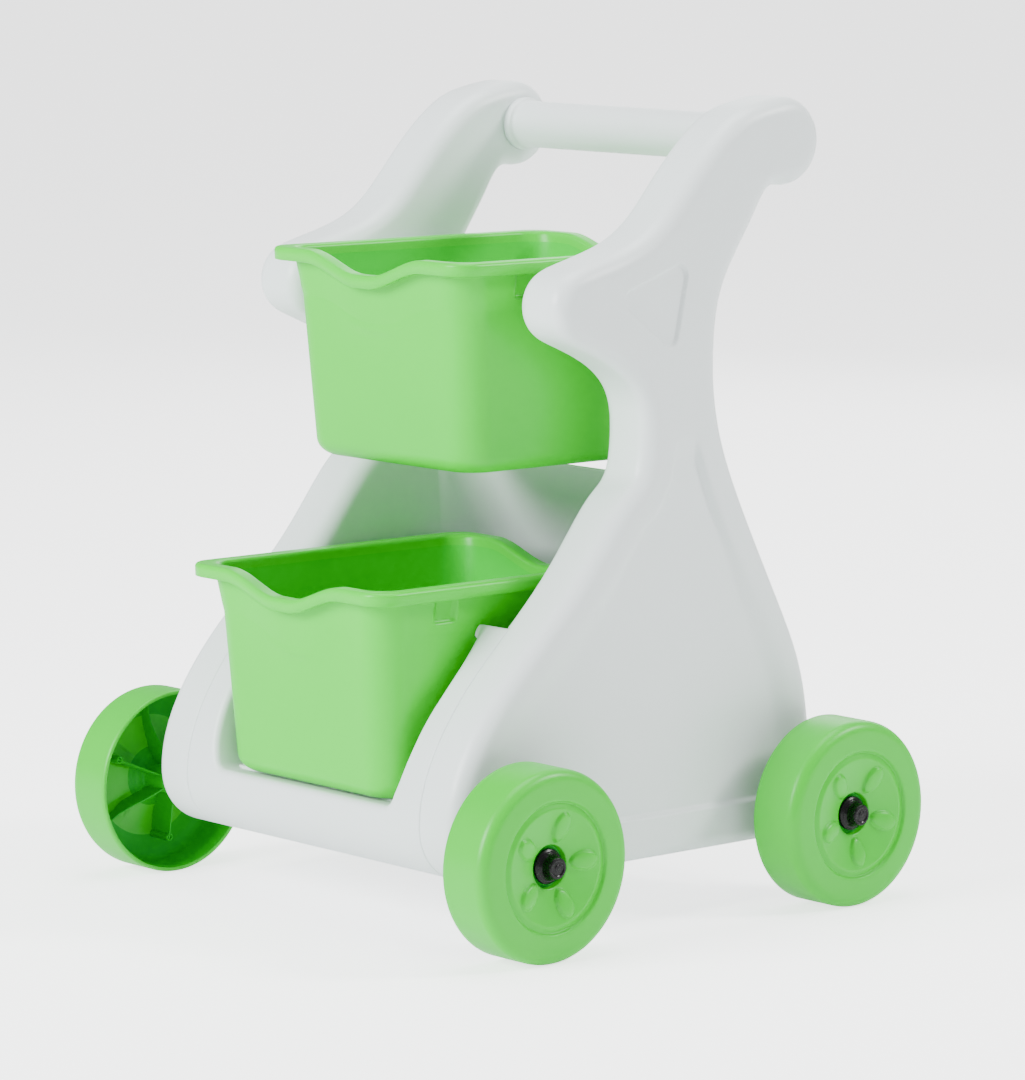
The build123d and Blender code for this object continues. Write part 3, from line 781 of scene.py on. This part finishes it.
def make_bin(name, node, body):
    """A bin in level rings: up the outside, over the rim's flange and lip, down the inside."""
    low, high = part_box(node)
    place = np.array(((low[0] + high[0]) / 2, (low[1] + high[1]) / 2, low[2]))
    under = bin_height - bin_wall
    lip_foot = bin_height - lip
    loops = []
    # the rounded foot and the drafted wall
    for a in np.linspace(0, pi / 2, 8):
        tuck = foot_round * (1 - sin(a))
        loops.append(bin_ring(foot_round * (1 - cos(a)), tuck, 0, 0, bin_corner - tuck / 2))
    for z in np.linspace(16, 108, 12):
        loops.append(bin_ring(z * MM, 0, 0, follows(z), bin_corner))
    for z in (113, 116, 117.4, 118.6, 119.6):
        loops.append(bin_ring(z * MM, 0, 0, 1, bin_corner))
    # the flare, with the pockets pressed into it
    for z in (121, 123):
        loops.append(bin_ring(z * MM, 0, (z - 120) * 0.12 * MM, 1, bin_corner))
    for z in (126.6, 127.4, 128.3, 129.6, 132, 136, 140, 143.5, 144.6, 145.2):
        pocket = pocket_depth * smoothstep((z - 127) / 2.4) * smoothstep((146.4 - z) / 2)
        loops.append(bin_ring(z * MM, 0, (0.5 + (z - 124) * 0.085) * MM, 1, bin_corner, pocket))
    # under the flange, round the lip and over the rim
    loops += [
        bin_ring(under - 1.5 * MM, 0, 2.4 * MM, 1, bin_corner),
        bin_ring(under - 0.4 * MM, 0, 3.2 * MM, 1, bin_corner - 1 * MM),
        bin_ring(under, 0, 4.4 * MM, 1, bin_corner - 1.5 * MM),
        bin_ring(under, 0, flange - bin_wall, 1, rim_corner - 2 * MM),
        bin_ring(lip_foot, 0, flange - bin_wall + 0.4 * MM, 1, rim_corner - 2 * MM),
        bin_ring(lip_foot - 0.2 * MM, 0, flange - bin_wall / 2 + 0.3 * MM, 1, rim_corner - 1 * MM),
        bin_ring(lip_foot + 0.3 * MM, 0, flange + 0.2 * MM, 1, rim_corner)]
    for a in np.linspace(0, pi / 2, 7):
        short = lip_round * (1 - cos(a))
        loops.append(bin_ring(bin_height - lip_round * (1 - sin(a)), 0, flange - short, 1,
                              rim_corner - short))
    for out in (6.5, 4.0, 2.0):
        loops.append(bin_ring(bin_height, 0, out * MM, 1, rim_corner - 2 * MM))
    for a in np.linspace(0, pi / 2, 7)[1:]:
        loops.append(bin_ring(bin_height - mouth_round * (1 - cos(a)),
                              mouth_round * sin(a) - 1.2 * MM, 0, 1, rim_corner - 2 * MM))
    inside_start = len(loops)
    for z in np.linspace(148, 20, 22):
        thinner = 0.9 * MM * smoothstep((z - 126) / 20)
        loops.append(bin_ring(z * MM, bin_wall - thinner, 0, follows(z), inner_corner))
    for a in np.linspace(0, pi / 2, 8)[1:]:
        short = 1 - cos(a)
        loops.append(bin_ring(bin_wall + floor_round * (1 - sin(a)), bin_wall + floor_round * short,
                              0, 0, inner_corner - 4 * MM * short))
    vertices, faces = skin(loops)
    made = piece(name, vertices + place, faces, bin_green, body, "bin_green")
    # The inside faces take the copy with painted shade and painted glow.
    made.data.materials.append(painted_glow_bin_inside)
    for polygon in made.data.polygons:
        if min(polygon.vertices) >= inside_start * len(loops[0]):
            polygon.material_index = 1
    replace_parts(made, node)


make_bin("upper_basket", "upper_bin", "upper_bin")
make_bin("lower_basket", "lower_bin", "lower_bin")

# ---- wheels ------------------------------------------------------------------
# Injection-moulded wheels, open at the back. The face has a ring groove and five
# raised petals round a sunk hub; ribs and small ejector tubes brace the back.

wheel_green = moulded("green_wheel_plastic", (0.026, 0.55, 0.014, 1), (0.020, 0.50, 0.010, 1), 0.38,
                      0.00002, 0.0002, 0.36)
# Painted shade: the wheel's hollow back and its ribs get a much darker copy of the wheel plastic, with
# a faint painted glow.
painted_shade_wheel_hollow = moulded("green_wheel_hollow_painted_shade", (0.001, 0.34, 0.010, 1), (0.001, 0.30, 0.008, 1), 0.45,
                       0.00002, 0.0002, 0.15, (0.0, 0.035, 0.003, 1))
wheel_width = 42 * MM
wheel_segments = 240
web_front = 228 * MM            # everything nearer the panel is behind the face
face_front = 229 * MM           # everything beyond it is the face
well_radius = 15.6 * MM
petal_count = 5
petal_turns = {"front": 3.5, "rear": -16}
petal_ring, petal_long, petal_wide, petal_high = 28.6 * MM, 10.9 * MM, 6.9 * MM, 3.4 * MM
rib_turns = {"fins": 92.5, "posts": 32.5}


def petals(turn):
    """Raised drops on the wheel's dished face, pointing at the hub."""
    def rise(x, radius, angle):
        face = (x > face_front) & (radius > well_radius)
        lift = np.zeros(len(x))
        for k in range(petal_count):
            away = angle - radians(turn + 360 / petal_count * k)
            beside = radius * np.sin(away)
            along = radius * np.cos(away) - petal_ring
            size = (beside / (petal_wide + 0.05 * along)) ** 2 + (along / petal_long) ** 2
            dome = np.sqrt(np.clip(1 - size, 0, 1))
            crown = np.minimum(dome * 1.3, 0.35 + 0.65 * dome)
            lift = np.maximum(lift, petal_high * crown * (size < 1))
        return lift * face
    return rise


def wheel_profile():
    """Section of the wheel as (x, radius), round from the tread's back edge.

    The list counts (depth behind the face, radius) in millimetres.
    """
    face = middle("front_right_wheel")[0] + wheel_width / 2
    tread = [(41.2, 67), (42, 67.6), (42, 69.2), (41.2, 70)]
    tread += [(d, 70) for d in (38, 32, 26, 20, 14, 9)]
    tread += [(8 * (1 - sin(a)), 70 - 8 * (1 - cos(a))) for a in np.linspace(0, pi / 2, 9)]
    shoulder = [(0, r) for r in (60, 57, 54, 51, 49)]
    groove = [(0.15, 48.2), (0.6, 47.7), (1.4, 47.3), (2.1, 46.9), (2.4, 46.4), (2.35, 45.8),
              (2.0, 44.9), (1.5, 43.7), (1.05, 42.7), (0.9, 42.0), (0.95, 41.3)]
    dish = [(0.95 + (41.3 - r) * 0.245, r) for r in np.arange(40.6, 16.6, -0.6)]
    well = [(7.1, 16.4), (7.4, 15.9), (8.0, 15.6), (11.4, 15.5), (12, 15), (12, 9), (12, 4.85)]
    hub = [(41, 4.85), (41.4, 5.2), (41.4, 9.8), (40.8, 10.4), (18, 11), (15.8, 12), (15.2, 14)]
    web = [(14.6, 17), (12.5, 19.2), (10.8, 21), (10.2, 23), (7.6, 32), (5.6, 41), (5.4, 47), (5.0, 54)]
    web += [(5 + 9 * (1 - cos(a)), 57.4 + 9.4 * sin(a)) for a in np.linspace(0.15, pi / 2, 7)]
    web += [(26, 67)]
    around = tread + shoulder + groove + dish + well + hub + web
    return np.array([(face - d * MM, r * MM) for d, r in around + around[:1]])


def new_tree(name, inputs):
    """An empty geometry tree with named inputs, and the calls that add its nodes and end it."""
    tree = bpy.data.node_groups.new(name, "GeometryNodeTree")
    for label, kind in inputs.items():
        tree.interface.new_socket(label, in_out="INPUT", socket_type=kind)
    tree.interface.new_socket("Geometry", in_out="OUTPUT", socket_type="NodeSocketGeometry")

    def add(kind, values, **settings):
        made = tree.nodes.new(kind)
        for key, value in settings.items():
            setattr(made, key, value)
        for key, value in values.items():
            if isinstance(value, bpy.types.NodeSocket):
                tree.links.new(value, made.inputs[key])
            else:
                made.inputs[key].default_value = value
        return made.outputs

    def end(instances, finish):
        real = add("GeometryNodeRealizeInstances", {0: instances})
        coated = add("GeometryNodeSetMaterial", {"Geometry": real[0], "Material": finish})
        add("NodeGroupOutput", {"Geometry": coated[0]})

    return tree, add, end


def run_tree(name, tree, values):
    """The plain mesh that a tree makes from named inputs."""
    host = bpy.data.objects.new(name, bpy.data.meshes.new(name))
    bpy.context.scene.collection.objects.link(host)
    modifier = host.modifiers.new("build", "NODES")
    modifier.node_group = tree
    for item in tree.interface.items_tree:
        if item.in_out == "INPUT" and item.name in values:
            modifier[item.identifier] = values[item.name]
    mesh = settled(host)
    bpy.data.objects.remove(host)
    return mesh


def helper(name, vertices, faces):
    """A shape that other pieces are made from, removed once they are made."""
    mesh = bpy.data.meshes.new(name)
    mesh.from_pydata([tuple(v) for v in vertices], [], [tuple(f) for f in faces])
    obj = bpy.data.objects.new(name, mesh)
    bpy.context.scene.collection.objects.link(obj)
    return obj


def rib_ring(name, seat):
    """Geometry nodes that set ribs or tubes evenly round the hub, behind the face."""
    tree, add, end = new_tree(name, {"Count": "NodeSocketInt", "Turn": "NodeSocketFloat",
                                     "Rib": "NodeSocketObject", "Finish": "NodeSocketMaterial"})
    given = add("NodeGroupInput", {})
    index = add("GeometryNodeInputIndex", {})
    share = add("ShaderNodeMath", {0: index[0], 1: given["Count"]}, operation="DIVIDE")
    angle = add("ShaderNodeMath", {0: share[0], 1: tau, 2: given["Turn"]}, operation="MULTIPLY_ADD")
    spin = add("ShaderNodeCombineXYZ", {"X": angle[0]})
    line = add("GeometryNodeMeshLine", {"Count": given["Count"], "Offset": (0, 0, 0)})
    rib = add("GeometryNodeObjectInfo", {"Object": given["Rib"]})
    copies = add("GeometryNodeInstanceOnPoints", {
        "Points": line[0], "Instance": rib["Geometry"], "Rotation": spin[0]})
    moved = add("GeometryNodeTranslateInstances", {
        "Instances": copies[0], "Translation": seat, "Local Space": False})
    end(moved[0], given["Finish"])
    return tree


def make_rib(flip, tube):
    """A thin fin that falls from the hub's end, to a small tube or to the wheel's face."""
    # (radius, x) along the free edge, in millimetres
    if tube:
        top = [(10.4, 201.5), (20, 204), (32, 207.5), (44, 211), (49.4, 212.4)]
    else:
        top = [(10.4, 202), (18, 206), (26, 211.5), (34, 218), (42, 222.5), (50, 224.5),
               (58, 223.5), (67, 221)]
    foot, edge = 0.75, 0.525        # half thickness, at the web and at the free edge
    loops = []
    for r, x in top:
        web = 232.6 if r > 22 else 224
        loops.append(np.array([(x * flip, -edge, r), (x * flip, edge, r),
                               (web * flip, foot, r), (web * flip, -foot, r)]) * MM)
    vertices, faces = skin(loops)
    if tube:
        line = [(x * MM, r * MM) for x, r in (
            (233, 3.3), (212, 3.1), (211.3, 2.9), (211, 2.5), (211, 2.1), (211.4, 1.7), (233, 1.6),
            (233, 3.3))]
        ring = turned(line, 24, (0, 0, 47 * MM))
        vertices, faces = joined((vertices, faces), (ring[0] * (flip, 1, 1), ring[1]))
    return vertices, faces


profile = wheel_profile()
rows = len(profile) - 1
behind_face = {k for k, (x, r) in enumerate(profile[:-1]) if x < web_front and r < 67.3 * MM}
bowl_start = rows - 10          # from here on, the web's outer part and the tread's inner side
for name in wheel_names:
    row, side = name.split("_")
    node = f"{name}_wheel"
    seat = middle(node)
    flip = 1 if side == "right" else -1
    seat[0] = 0
    vertices, faces = turned(profile[:-1], wheel_segments, seat, petals(petal_turns[row]))
    last = (rows - 1) * wheel_segments
    faces += [(last + k, last + (k + 1) % wheel_segments, (k + 1) % wheel_segments, k)
              for k in range(wheel_segments)]
    if flip < 0:
        vertices = mirrored(vertices)
    wheel = piece(f"{name}_tyre", vertices, faces, wheel_green, node, "wheel_green")
    wheel.data.materials.append(painted_shade_wheel_hollow)
    # Painted shade: faces behind the wheel's face and inside the tread take the darker copy.
    for polygon in wheel.data.polygons:
        levels = [v // wheel_segments for v in polygon.vertices]
        if all(k in behind_face or k >= bowl_start for k in levels):
            polygon.material_index = 1
    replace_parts(wheel, node)
    # The ribs and tubes take the same darker copy, as painted shade.
    for label, turn in rib_turns.items():
        pattern = helper(f"{name}_{label}_pattern", *make_rib(flip, label == "posts"))
        made = run_tree(f"{name}_{label}_host", rib_ring(f"{name}_{label}", tuple(seat)), {
            "Count": 3, "Turn": radians(turn + petal_turns[row] - 90), "Rib": pattern,
            "Finish": painted_shade_wheel_hollow})
        bpy.data.objects.remove(pattern)
        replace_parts(show(f"{name}_{label}", made, node, "wheel_green"), node)

# ---- axle caps ---------------------------------------------------------------
# Glossy black push-on caps, pressed over the axles' ends: a domed flange against the
# washer and a stubby round nose, with turning marks on its end.

turning_marks = 3600.0
for name in wheel_names:
    node = f"{name}_axle_cap"
    low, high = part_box(node)
    seat = middle(node)
    flip = 1 if seat[0] > 0 else -1
    inner, tip = sorted((abs(low[0]), abs(high[0])))
    finish = Finish(f"black_cap_{name}")
    where = finish.place(tuple(seat))
    across = finish.node("ShaderNodeVectorMath", {"operation": "MULTIPLY"}, {0: where, 1: (0, 1, 1)})
    radius = finish.node("ShaderNodeVectorMath", {"operation": "LENGTH"}, {0: across}, "Value")
    marks = finish.node("ShaderNodeMath", {"operation": "SINE"}, {0: radius * turning_marks})
    speck = finish.noise(where, 500.0)
    black = finish.mix(speck, (0.0020, 0.0020, 0.0022, 1), (0.0045, 0.0042, 0.0044, 1))
    ridges = finish.bump(marks, 0.6, 0.00012)
    cap_black = finish.done(Base_Color=black, Roughness=0.22 + speck * 0.12, Normal=ridges,
                            Specular_IOR_Level=0.22)
    flange_line = [(inner + d * MM, r * MM) for d, r in (
        (0, 12.0), (0, 12.4), (0.4, 12.8), (1.6, 12.8), (2.4, 12.4), (2.9, 11.5), (3.3, 10.2),
        (3.9, 9.2), (5.0, 8.6), (7.5, 8.3))]
    nose_line = [(tip - d * MM, r * MM) for d, r in (
        (1.6, 8.1), (0.6, 7.7), (0.1, 7.1), (0, 6.3), (0.1, 5.6), (0.7, 5.1), (0.7, 3.4), (0.4, 3.0),
        (0.4, 0.6))]
    vertices, faces = capped(turned(flange_line + nose_line, 72, seat), 72)
    if flip < 0:
        vertices = mirrored(vertices)
    cap = piece(f"{name}_cap", vertices, faces, cap_black, "frame", "cap_black")
    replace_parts(cap, node)

# ---- axles, washers and spacers ----------------------------------------------
# Zinc-plated steel rods and stamped washers, and natural nylon tubes on the rods that
# keep each wheel off the panel.

finish = Finish("zinc_plated_steel")
where = finish.place()
drawn = finish.node("ShaderNodeMapping", {}, {"Vector": where, "Scale": (8, 900, 900)})
lines = finish.noise(drawn, 1.0, 3.0)
cloud = finish.noise(where, 60.0, 3.0)
steel = finish.done(
    Base_Color=finish.mix(cloud, (0.52, 0.53, 0.55, 1), (0.66, 0.66, 0.64, 1)), Metallic=1.0,
    Roughness=0.26 + cloud * 0.16 + lines * 0.08, Normal=finish.bump(lines, 0.5, 0.00002))
nylon = moulded("natural_nylon", (0.72, 0.72, 0.68, 1), (0.66, 0.66, 0.61, 1), 0.45,
                0.00002, 0.0002)
for node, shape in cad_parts.items():
    for ending, material in (("axle", steel), ("washer", steel), ("spacer", nylon)):
        if node.endswith(ending):
            for slot in shape.material_slots:
                slot.material = material

# ---- screws ------------------------------------------------------------------
# Pan-head steel screws, three a side. They pass through the deck's side flanges into
# solid posts in the panels.

screw_low, screw_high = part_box("tub_screws_right")
screw_count = 3
screw_segments = 36
head_radius = 5 * MM
head_height = 3 * MM
screw_first = (0, screw_low[1] + head_radius, (screw_low[2] + screw_high[2]) / 2)
screw_pitch = (screw_high[1] - screw_low[1] - 2 * head_radius) / (screw_count - 1)


def make_screw(flip):
    """One screw along X: a pan head, and a threaded shank that points outwards."""
    seat = screw_low[0] + head_height
    shank = [(20, 0.3), (17, 2.0)]
    for k in range(14):
        shank += [(16.4 - 1.1 * k, 2.0), (15.9 - 1.1 * k, 2.45)]
    head = [(0, 4.6), (-0.3, 5.0), (-1.4, 4.9), (-2.3, 4.2), (-2.8, 3.0), (-3, 1.6), (-3, 0.4)]
    line = [(seat + x * MM, r * MM) for x, r in shank + head]
    vertices, faces = capped(turned(line, screw_segments, (0, 0, 0)), screw_segments)
    return vertices * (flip, 1, 1), faces


for side, flip in (("right", 1), ("left", -1)):
    pattern = helper(f"screw_pattern_{side}", *make_screw(flip))
    tree, add, end = new_tree(f"screw_row_{side}", {
        "Count": "NodeSocketInt", "Pitch": "NodeSocketFloat", "Screw": "NodeSocketObject",
        "Finish": "NodeSocketMaterial"})
    given = add("NodeGroupInput", {})
    step = add("ShaderNodeCombineXYZ", {"Y": given["Pitch"]})
    line = add("GeometryNodeMeshLine", {
        "Count": given["Count"], "Start Location": screw_first, "Offset": step[0]})
    screw = add("GeometryNodeObjectInfo", {"Object": given["Screw"]})
    copies = add("GeometryNodeInstanceOnPoints", {"Points": line[0], "Instance": screw["Geometry"]})
    end(copies[0], given["Finish"])
    made = run_tree(f"screw_row_{side}_host", tree, {
        "Count": screw_count, "Pitch": screw_pitch, "Screw": pattern, "Finish": steel})
    bpy.data.objects.remove(pattern)
    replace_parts(show(f"{side}_deck_screws", made, "frame", "axle_steel"), f"tub_screws_{side}")

# ---- floor -------------------------------------------------------------------
# A plain pale matt floor that runs out of sight. It glows a little for the camera, so
# that it meets the background without a line; it is part of the studio, not of the cart.

floor_reach = 60
finish = Finish("pale_floor")
where = finish.place()
pale = finish.mix(finish.noise(where, 2.0, 2.0), (0.86, 0.87, 0.88, 1), (0.90, 0.90, 0.91, 1))
seen = finish.node("ShaderNodeLightPath", {}, {}, "Is Camera Ray")
glow = finish.mix(seen, (0.20, 0.20, 0.20, 1), (1, 1, 1, 1))
floor_finish = finish.done(Base_Color=pale, Roughness=0.8, Emission_Color=glow, Emission_Strength=2.2)
mesh = bpy.data.meshes.new("floor")
mesh.from_pydata([(x * floor_reach, y * floor_reach, 0) for x, y in (
    (-1, -1), (1, -1), (1, 1), (-1, 1))], [], [(0, 1, 2, 3)])
mesh.materials.append(floor_finish)
floor = bpy.data.objects.new("floor", mesh)
bpy.context.scene.collection.objects.link(floor)
